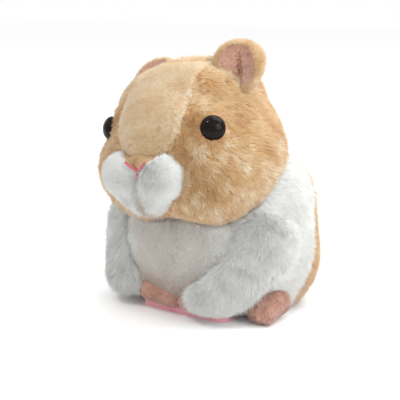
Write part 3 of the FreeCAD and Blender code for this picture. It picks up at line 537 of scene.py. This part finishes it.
def fur_material(name, tones, root_painted_shade):
    """Colour across a palette by the map's first direction, darker towards the roots along its second as painted
    shade deep in the pile.
    """
    material, nodes, links, shader = new_material(name, 0.85, Sheen_Weight=0.25, Sheen_Roughness=0.5,
                                                  Specular_IOR_Level=0.15)
    uv = nodes.new("ShaderNodeUVMap")
    uv.uv_map = "OFBake"
    split = nodes.new("ShaderNodeSeparateXYZ")
    links.new(uv.outputs["UV"], split.inputs["Vector"])
    palette = ramp(nodes, tones)
    links.new(split.outputs["X"], palette.inputs["Fac"])
    # painted shade: each strand darkens towards its root, standing in for shade deep in the pile
    depth = ramp(nodes, [(0.0, root_painted_shade), (0.55, (0.94, 0.94, 0.94, 1)), (1.0, (1, 1, 1, 1))])
    links.new(split.outputs["Y"], depth.inputs["Fac"])
    mix = nodes.new("ShaderNodeMix")
    mix.data_type = "RGBA"
    mix.blend_type = "MULTIPLY"
    mix.inputs["Factor"].default_value = 1
    links.new(palette.outputs["Color"], mix.inputs["A"])
    links.new(depth.outputs["Color"], mix.inputs["B"])
    links.new(mix.outputs["Result"], shader.inputs["Base Color"])
    return material


def cloth_material(name, dark, light, scale, bump_height=0.2, sheen=0.3):
    """Short velour or felt: mottled colour over a fine fibrous bump."""
    material, nodes, links, shader = new_material(name, 0.9, Sheen_Weight=sheen, Sheen_Roughness=0.5,
                                                  Specular_IOR_Level=0.2)
    place = nodes.new("ShaderNodeTexCoord")
    broad = nodes.new("ShaderNodeTexNoise")
    broad.inputs["Scale"].default_value = scale / 12
    broad.inputs["Detail"].default_value = 3
    fine = nodes.new("ShaderNodeTexNoise")
    fine.inputs["Scale"].default_value = scale
    fine.inputs["Detail"].default_value = 6
    fine.inputs["Roughness"].default_value = 0.7
    blend = nodes.new("ShaderNodeMath")
    blend.operation = "MULTIPLY_ADD"
    blend.inputs[1].default_value = 0.5
    links.new(place.outputs["Object"], broad.inputs["Vector"])
    links.new(place.outputs["Object"], fine.inputs["Vector"])
    links.new(broad.outputs["Fac"], blend.inputs[0])
    half = nodes.new("ShaderNodeMath")
    half.operation = "MULTIPLY"
    half.inputs[1].default_value = 0.5
    links.new(fine.outputs["Fac"], half.inputs[0])
    links.new(half.outputs["Value"], blend.inputs[2])
    colours = ramp(nodes, [(0.35, dark), (0.65, light)])
    links.new(blend.outputs["Value"], colours.inputs["Fac"])
    links.new(colours.outputs["Color"], shader.inputs["Base Color"])
    relief = nodes.new("ShaderNodeBump")
    relief.inputs["Strength"].default_value = bump_height
    relief.inputs["Distance"].default_value = 0.0006
    links.new(fine.outputs["Fac"], relief.inputs["Height"])
    links.new(relief.outputs["Normal"], shader.inputs["Normal"])
    return material


def hard_material(name, colour, roughness, metallic=0.0, grain=900.0, strength=0.05):
    """Moulded plastic or metal: a slightly uneven colour and a fine grain."""
    material, nodes, links, shader = new_material(name, roughness, Metallic=metallic)
    place = nodes.new("ShaderNodeTexCoord")
    noise = nodes.new("ShaderNodeTexNoise")
    noise.inputs["Scale"].default_value = grain
    noise.inputs["Detail"].default_value = 3
    links.new(place.outputs["Object"], noise.inputs["Vector"])
    dark = tuple(v * 0.82 for v in colour[:3]) + (1,)
    colours = ramp(nodes, [(0.3, dark), (0.7, colour)])
    links.new(noise.outputs["Fac"], colours.inputs["Fac"])
    links.new(colours.outputs["Color"], shader.inputs["Base Color"])
    relief = nodes.new("ShaderNodeBump")
    relief.inputs["Strength"].default_value = strength
    relief.inputs["Distance"].default_value = 0.0002
    links.new(noise.outputs["Fac"], relief.inputs["Height"])
    links.new(relief.outputs["Normal"], shader.inputs["Normal"])
    return material


TAN = fur_material("tan_pile", [
    (0.0, rgb(150, 104, 64)), (0.2, rgb(182, 134, 86)), (0.4, rgb(206, 162, 112)), (0.6, rgb(220, 184, 138)),
    (0.8, rgb(234, 208, 170)), (1.0, rgb(248, 234, 208))], rgb(206, 184, 162))
# the pinkish-brown lowest stop is reached mostly by the painted shadow and painted reflection low on the chest
WHITE = fur_material("white_pile", [
    (0.0, rgb(178, 146, 128)), (0.25, rgb(208, 198, 188)), (0.5, rgb(224, 222, 216)), (0.75, rgb(241, 243, 240)),
    (1.0, rgb(255, 255, 253))], rgb(218, 213, 208))
# the dark red-brown lowest stop is reached mainly by the painted shade in the ear lining's fold
ROSE = fur_material("rose_pile", [
    (0.0, rgb(112, 60, 52)), (0.3, rgb(158, 114, 98)), (0.6, rgb(190, 150, 132)), (1.0, rgb(220, 190, 174))],
    rgb(206, 180, 170))
TAN_BACKING = cloth_material("tan_backing", rgb(176, 130, 84), rgb(204, 160, 110), 900)
WHITE_BACKING = cloth_material("white_backing", rgb(214, 208, 200), rgb(230, 228, 222), 900)
SKIN_VELOUR = cloth_material("skin_velour", rgb(150, 108, 92), rgb(190, 148, 130), 1400, 0.4, 0.4)
EAR_VELOUR = cloth_material("ear_velour", rgb(176, 126, 106), rgb(208, 164, 144), 1400, 0.4, 0.5)

HARD = {
    "black_plastic": (rgb(26, 26, 28), 0.45, 0.0),
    "grey_plastic": (rgb(170, 172, 172), 0.4, 0.0),
    "pink_plastic": (rgb(222, 150, 164), 0.4, 0.0),
    "screw_steel": (rgb(190, 190, 192), 0.28, 1.0),
    "spring_steel": (rgb(200, 200, 204), 0.25, 1.0),
    "cell_jacket": (rgb(60, 92, 70), 0.35, 0.2),
    "gear_nylon": (rgb(236, 234, 224), 0.4, 0.0),
    "brass": (rgb(206, 170, 92), 0.3, 1.0),
    "motor_steel": (rgb(176, 178, 182), 0.32, 1.0),
    "board_green": (rgb(36, 96, 60), 0.4, 0.0),
}


def eye_material():
    """Black glossy plastic with a very dark brown depth."""
    material, nodes, links, shader = new_material("eye_gloss", 0.07, Specular_IOR_Level=0.12)
    place = nodes.new("ShaderNodeTexCoord")
    noise = nodes.new("ShaderNodeTexNoise")
    noise.inputs["Scale"].default_value = 240
    links.new(place.outputs["Object"], noise.inputs["Vector"])
    colours = ramp(nodes, [(0.3, rgb(10, 7, 8)), (0.7, rgb(26, 16, 16))])
    links.new(noise.outputs["Fac"], colours.inputs["Fac"])
    links.new(colours.outputs["Color"], shader.inputs["Base Color"])
    return material


def dress_cad_nodes():
    """Node materials for every CAD node, by its slot in the record."""
    made = {name: hard_material(name, *values) for name, values in HARD.items()}
    made["eye_gloss"] = eye_material()
    made["pink_felt"] = cloth_material("pink_felt", rgb(214, 138, 150), rgb(238, 178, 188), 1100, 0.6, 0.4)
    made["nose_thread"] = cloth_material("nose_thread", rgb(176, 74, 86), rgb(206, 104, 116), 2200, 0.5, 0.2)
    made["fibre_filling"] = cloth_material("fibre_filling", rgb(226, 226, 224), rgb(244, 244, 242), 500)
    made["skin_velour"] = SKIN_VELOUR
    made["ear_velour"] = EAR_VELOUR
    made["tan_plush"] = made["tan_plush_short"] = TAN_BACKING
    made["white_plush"] = made["white_plush_short"] = WHITE_BACKING
    for part in frame["record"]["subparts"]:
        node = frame["nodes"][part["node"]]
        material = made[part["material_slot"]]
        if not node.material_slots:
            node.data.materials.append(material)
        for slot in node.material_slots:
            slot.material = material


# ---- what the piles are given: where they grow, how they lie, how long they are and their tones

def everywhere(points):
    return np.ones(len(points))


def constant(value):
    return lambda points: np.full(len(points), float(value))


def fixed_way(x, y, z):
    return lambda points: np.tile(np.array([x, y, z], float), (len(points), 1))


def mottled(points, scale, seed, rng, level, broad, fine):
    """A tone about a level, uneven in broad patches and from tuft to tuft."""
    return level + broad * ripple(points, scale, seed) + fine * rng.normal(size=len(points))


def head_shows(world):
    """Not under the eyes, the muzzle or the neck."""
    p = to_head(world)
    hidden = (muzzle_form(world) < 0.8) | ((p[:, 2] < -25) & (np.hypot(p[:, 0], p[:, 1] + 2) < 24))
    clear = np.ones(len(world))
    for eye in EYES:
        clear *= np.linalg.norm(world - eye, axis=1) > EYE_CLEARING
    return clear * ~hidden


def on_forehead(world):
    p = to_head(world)
    return (np.abs(p[:, 0]) < seam_x(p)) & (p[:, 1] < 0) & (p[:, 2] > -14) & (p[:, 2] < 36)


def by_the_seam(p):
    return (p[:, 1] < -4) * (p[:, 2] < SEAM_TOP)


def cheek_way(world):
    """Down and back over the head, but away from each eye near it."""
    p = to_head(world)
    back = fade(p[:, 1], -30, 10)
    way = np.stack([np.sign(p[:, 0]) * 0.45, 0.25 + 0.5 * back, -0.75 - 0.1 * p[:, 2] / 30], axis=1)
    for eye in EYES:
        away = world - eye
        near = bump(np.linalg.norm(away, axis=1), 17)
        way = way * (1 - near[:, None]) + unit(away) * near[:, None]
    return way + 0.35 * wander(p, 16, 21)


def cheek_length(world):
    """Longest low on the cheeks, short about the eyes and at the seam."""
    p = to_head(world)
    long = 4.6 + 1.4 * bump(p[:, 2] + 12, 26)
    for eye in EYES:
        long = long * (1 - 0.55 * bump(np.linalg.norm(world - eye, axis=1), 15))
    return long * (0.55 + 0.45 * fade(seam_distance(p), 0, 6))


def cheek_tone(world, rng):
    """Tan with painted highlight streaks low down, a cream line at the seam and a darker one beside it."""
    p = to_head(world)
    tone = mottled(p, 14, 31, rng, 0.52, 0.10, 0.08)
    tone += 0.08 * fade(p[:, 2], 12, 32)
    tone += 0.06 * fade(p[:, 2], -10, -22)
    # painted highlight: light streaks where clumps low on the cheeks catch the light
    streaks = (ripple(p * np.array([1, 1, 0.5]), 6, 32) > 0.35) & (p[:, 2] < 2)
    tone += streaks * 0.26 * (rng.random(len(p)) < 0.6)
    tone += 0.34 * bump(seam_distance(p), 1.3) * by_the_seam(p)
    tone -= 0.1 * bump(seam_distance(p) - 3, 2.5) * by_the_seam(p)
    return tone


def forehead_way(world):
    return np.array([-0.95, 0.1, -0.25]) + 0.2 * wander(to_head(world), 12, 24)


def forehead_tone(world, rng):
    p = to_head(world)
    tone = mottled(p * np.array([0.4, 1, 1]), 8, 33, rng, 0.74, 0.06, 0.05)
    tone -= 0.12 * bump(p[:, 2] + 8, 12)
    return tone + 0.25 * bump(seam_distance(p), 1.2) * (p[:, 2] < SEAM_TOP)


def muzzle_shows(world):
    return (head_form(world) > -1.5).astype(float)


def muzzle_way(world):
    """Away from the middle, downwards below the nose."""
    p = to_head(world)
    back = np.full(len(p), 0.15)
    return np.stack([p[:, 0] * 0.05 + np.sign(p[:, 0]) * 0.35, back, -0.5 + (p[:, 2] + 14) * 0.05], axis=1)


def muzzle_tone(world, rng):
    """White, with painted shade greying the valley between the puffs and under the chin."""
    p = to_head(world)
    # painted shade in the valley between the puffs and under the chin
    valley = bump(p[:, 0], 2.5) * fade(p[:, 2], -8, -14)
    return 0.78 + 0.08 * ripple(p, 7, 35) - 0.45 * valley - 0.2 * fade(p[:, 2], -22, -30)


def bridge_tone(world, rng):
    return mottled(to_head(world), 6, 34, rng, 0.6, 0.08, 0.05)


def of_arm(world, side):
    return (arm_form(world, side) < torso_form(world) + 1.5) & (world[:, 0] * side > 0)


def of_torso(world):
    return ~of_arm(world, 1) & ~of_arm(world, -1)


def of_back(world):
    """Behind the back panel's seam, which comes forward towards the haunches."""
    seam_y = BACK_PANEL_Y - 4 - 13 * fade(world[:, 2], 60, 15)
    return (world[:, 1] >= seam_y) & of_torso(world)


def of_front(world):
    return ~of_back(world) & of_torso(world)


def body_shows(world):
    return (world[:, 2] > SOLE_TOP + 1) & (head_form(world) > 0.6)


def on_chest(world):
    """1 on the smooth chest between the arms, fading out around it."""
    return fade(world[:, 1], -6, -22) * fade(np.abs(world[:, 0]), 34, 18)


def body_way(world):
    down = np.tile([0, 0.3, -0.8], (len(world), 1))
    down[:, 0] = world[:, 0] * 0.006
    return down + 0.3 * wander(world, 18, 51)


def body_length(world):
    return 5.0 - 3.2 * on_chest(world)


def body_tone(world, rng):
    """White and smoother on the chest, greyed there by painted shade, with painted shadow and a painted pink
    reflection low down on it.
    """
    chest = on_chest(world)
    rough = mottled(world, 13, 36, rng, 0, 0.08, 0.12)
    # painted shade over the chest, deepening low down to painted shadow with a painted pink reflection of the paws
    return 0.74 + rough * (1 - 0.7 * chest) - chest * (0.34 + 0.4 * fade(world[:, 2], 28, 10))


def back_tone(world, rng):
    return mottled(world, 12, 37, rng, 0.5, 0.10, 0.07)


def arm_length(world):
    return 7.0 - 3.6 * fade(world[:, 2], 12, 6)


def arm_tone(world, rng):
    return mottled(world, 9, 64, rng, 0.76, 0.10, 0.14)


# ---- the pet

def make_head():
    skin = grow(head_form, HEAD, 7)
    stuffed("head_skin", skin, TAN_BACKING, "head", "tan_plush", 0.9, "head_cover", "head_stuffing")
    for side, label in SIDES:
        coat("head", "tan_plush", f"{label}_cheek_pile", skin,
             lambda w: head_shows(w) * ~on_forehead(w) * (to_head(w)[:, 0] * side > 0), 62000, cheek_length,
             cheek_way, cheek_tone, TAN, tuft=1.5, per_tuft=11, pull=0.5, seed=40 + side)
    fur = coat("head", "tan_plush_short", "forehead_pile", skin, lambda w: head_shows(w) * on_forehead(w), 42000,
               constant(3.0), forehead_way, forehead_tone, TAN, rise=0.28, width=0.4, tuft=0.9, mess=0.15, seed=44)
    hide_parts("forehead_panel")


def make_muzzle():
    skin = grow(muzzle_form, from_head([0, -38, -16])[0], 6, 40)
    stuffed("muzzle_skin", skin, WHITE_BACKING, "head", "white_plush", 0.9, "muzzle")
    coat("head", "white_plush", "muzzle_pile", skin, lambda w: muzzle_shows(w) * ~on_bridge(w), 40000,
         constant(3.6), muzzle_way, muzzle_tone, WHITE, rise=0.5, width=0.4, tuft=1.2, mess=0.28, seed=46)
    coat("head", "tan_plush_short", "bridge_pile", skin, lambda w: muzzle_shows(w) * on_bridge(w), 7000,
         constant(2.2), fixed_way(-0.9, 0.1, -0.3), bridge_tone, TAN, rise=0.25, width=0.4, tuft=0.9, mess=0.15,
         seed=47)


def make_body():
    """Torso and arms share one flowing surface, sewn from separate panels."""
    seeds = [grow(torso_form, BODY, 6)]
    for side in (-1, 1):
        seeds.append(grow(lambda w: arm_form(w, side), on_side((30, -14, 30), side), 5, 60))
    skin = weld(seeds, body_form)
    stuffed("body_skin", take(skin, of_front), WHITE_BACKING, "body", "white_plush", 0.8, "body_cover",
            "body_stuffing")
    stuffed("back_skin", take(skin, of_back), TAN_BACKING, "body", "tan_plush", 0.8, "back_panel")
    for side, label in SIDES:
        coat("body", "white_plush", f"{label}_body_pile", skin,
             lambda w: body_shows(w) * of_front(w) * (w[:, 0] * side > 0), 60000, body_length, body_way, body_tone,
             WHITE, width=0.42, mess=0.16, seed=50 + side)
        arm = take(skin, lambda w: of_arm(w, side))
        stuffed(f"{label}_arm_skin", arm, WHITE_BACKING, "body", "white_plush", 0.8, f"{label}_arm")
        inwards = np.array([-side * 0.35, -0.3, -0.8])
        coat("body", "white_plush", f"{label}_arm_pile", arm, body_shows, 50000, arm_length,
             lambda w: inwards + 0.45 * wander(w, 10, 61), arm_tone, WHITE, rise=0.6, width=0.46, tuft=1.7,
             per_tuft=12, pull=0.7, mess=0.3, seed=60 + side)
    coat("body", "tan_plush", "back_pile", skin, lambda w: body_shows(w) * of_back(w), 60000, constant(4.6),
         body_way, back_tone, TAN, width=0.45, seed=54)


def make_velour(label, name, node, form, side, shade):
    """A stuffed velour paw or foot and its short nap."""
    centre = middle_of(node)
    centre[2] = max(centre[2], 8.5)
    skin = grow(lambda w: form(w, side), centre, 6, 40)
    stuffed(f"{label}_{name}_velour", skin, SKIN_VELOUR, "body", "skin_velour", 0.9, node)
    coat("body", "skin_velour", f"{label}_{name}_nap", skin, lambda w: w[:, 2] > 1.2, 18000, constant(0.9),
         fixed_way(0, -0.3, -1), lambda w, rng: mottled(w, 6, 66, rng, shade, 0.12, 0.08), ROSE, rise=0.6,
         width=0.2, tuft=0.6, seed=70 + side)


def make_paws_feet_and_tail():
    for side, label in SIDES:
        make_velour(label, "paw", f"{label}_paw", paw_form, side, 0.44)
        # the hind feet's lower tone, 0.26 against the paws' 0.44, is partly painted shade under the overhanging
        # body
        make_velour(label, "foot", f"{label}_hind_foot", foot_form, side, 0.26)
    stuffed("tail_velour", grow(tail_form, (0, 50.5, 14), 5, 20), SKIN_VELOUR, "body", "skin_velour", 0.9, "tail")


def make_ear_side(name, skin, cloth, node):
    """One of the two skins of an ear."""
    piece = finish_piece(make_mesh(name, *take(skin, lambda w: np.ones(len(w), bool))), cloth)
    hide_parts(node)
    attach(piece, "head")


def make_ears():
    """Thick ears with a lined hollow; the pet's right one lies back."""
    own, faces = grow(ear_form, (0, 3.2, 11.0), 6, 30)
    lined = (egg(own, *EAR_HOLLOW) < 1.3) & (own[:, 1] < 1.5)
    inside = lined[faces].all(axis=1)
    for side, label in SIDES:
        skin = place_ear(own, side)
        foot = place_ear(np.zeros((1, 3)), side)
        axes = place_ear(np.eye(3), side) - foot
        outer, inner = (skin, faces[~inside]), (skin, faces[inside])
        make_ear_side(f"{label}_ear_outside", outer, TAN_BACKING, f"{label}_ear")
        make_ear_side(f"{label}_ear_inside", inner, EAR_VELOUR, f"{label}_ear_lining")

        def off_rim(world):
            return egg((world - foot) @ axes.T, *EAR_HOLLOW) > 1.4

        def lining_tone(world, rng):
            # painted shade: the lining darkens to red-brown along the crease of the fold
            fold_shade = bump(egg((world - foot) @ axes.T, *EAR_FOLD), 1.8)
            return mottled(world, 5, 73, rng, 0.66, 0.08, 0.05) - 0.6 * fold_shade

        upward = fixed_way(*axes[2])
        coat("head", "tan_plush_short", f"{label}_ear_pile", outer, off_rim, 26000, constant(2.4), upward,
             lambda w, rng: mottled(w, 6, 71, rng, 0.62, 0.08, 0.06), TAN, rise=0.55, width=0.32, tuft=1.0,
             mess=0.3, seed=72 + side)
        coat("head", "ear_velour", f"{label}_ear_nap", inner, everywhere, 9000, constant(1.0), upward, lining_tone,
             ROSE, rise=0.5, width=0.22, tuft=0.6, seed=75 + side)


# ---- the room, in metres

FLOOR_SIZE = 6
FLOOR_COLOUR = (0.97, 0.97, 0.97, 1)
LIGHTS = (   # name, place, power, width and colour
    ("overhead", (0.25, 0.35, 0.9), 7.0, 0.8, (1.0, 0.99, 0.97)),
    ("key", (-0.17, -0.56, 0.9), 2.2, 0.09, (1.0, 0.99, 0.98)),
    ("side", (0.9, -0.1, 0.45), 4.0, 0.6, (0.97, 0.99, 1.0)),
)
LIT_POINT = Vector((0, 0, 0.07))
AZIMUTH, ELEVATION = math.radians(35), math.radians(11)
CAMERA_TARGET = Vector((0, 0.0055, 0.072))
CAMERA_DISTANCE = 0.48
LENS = 83.1
CAMERA_SHIFT = (-0.0275, -0.082)


def make_stage():
    bpy.ops.mesh.primitive_plane_add(size=FLOOR_SIZE, location=(0, 0, 0))
    floor = bpy.context.object
    floor.name = "floor"
    material, _, _, shader = new_material("pale_floor", 0.9)
    shader.inputs["Base Color"].default_value = FLOOR_COLOUR
    floor.data.materials.append(material)
    world = bpy.data.worlds.new("studio")
    bpy.context.scene.world = world
    world.use_nodes = True
    background = world.node_tree.nodes["Background"]
    background.inputs["Color"].default_value = (1, 1, 1, 1)
    background.inputs["Strength"].default_value = 1.0
    for name, place, power, width, colour in LIGHTS:
        light = bpy.data.lights.new(name, "AREA")
        light.energy = power
        light.size = width
        light.color = colour
        lamp = bpy.data.objects.new(name, light)
        lamp.location = place
        lamp.rotation_euler = (LIT_POINT - Vector(place)).to_track_quat("-Z", "Y").to_euler()
        bpy.context.scene.collection.objects.link(lamp)


def make_camera():
    """It stands off the pet's left front, a little above its middle."""
    away = Vector((math.sin(AZIMUTH) * math.cos(ELEVATION), -math.cos(AZIMUTH) * math.cos(ELEVATION),
                   math.sin(ELEVATION)))
    camera = bpy.data.cameras.new("camera")
    camera.sensor_width = 36
    camera.lens = LENS
    camera.shift_x, camera.shift_y = CAMERA_SHIFT
    view = bpy.data.objects.new("camera", camera)
    view.location = CAMERA_TARGET + away * CAMERA_DISTANCE
    view.rotation_euler = (-away).to_track_quat("-Z", "Y").to_euler()
    bpy.context.scene.collection.objects.link(view)
    bpy.context.scene.camera = view


bpy.context.scene.view_settings.view_transform = "Standard"
dress_cad_nodes()
make_head()
make_muzzle()
make_body()
make_paws_feet_and_tail()
make_ears()
make_stage()
make_camera()
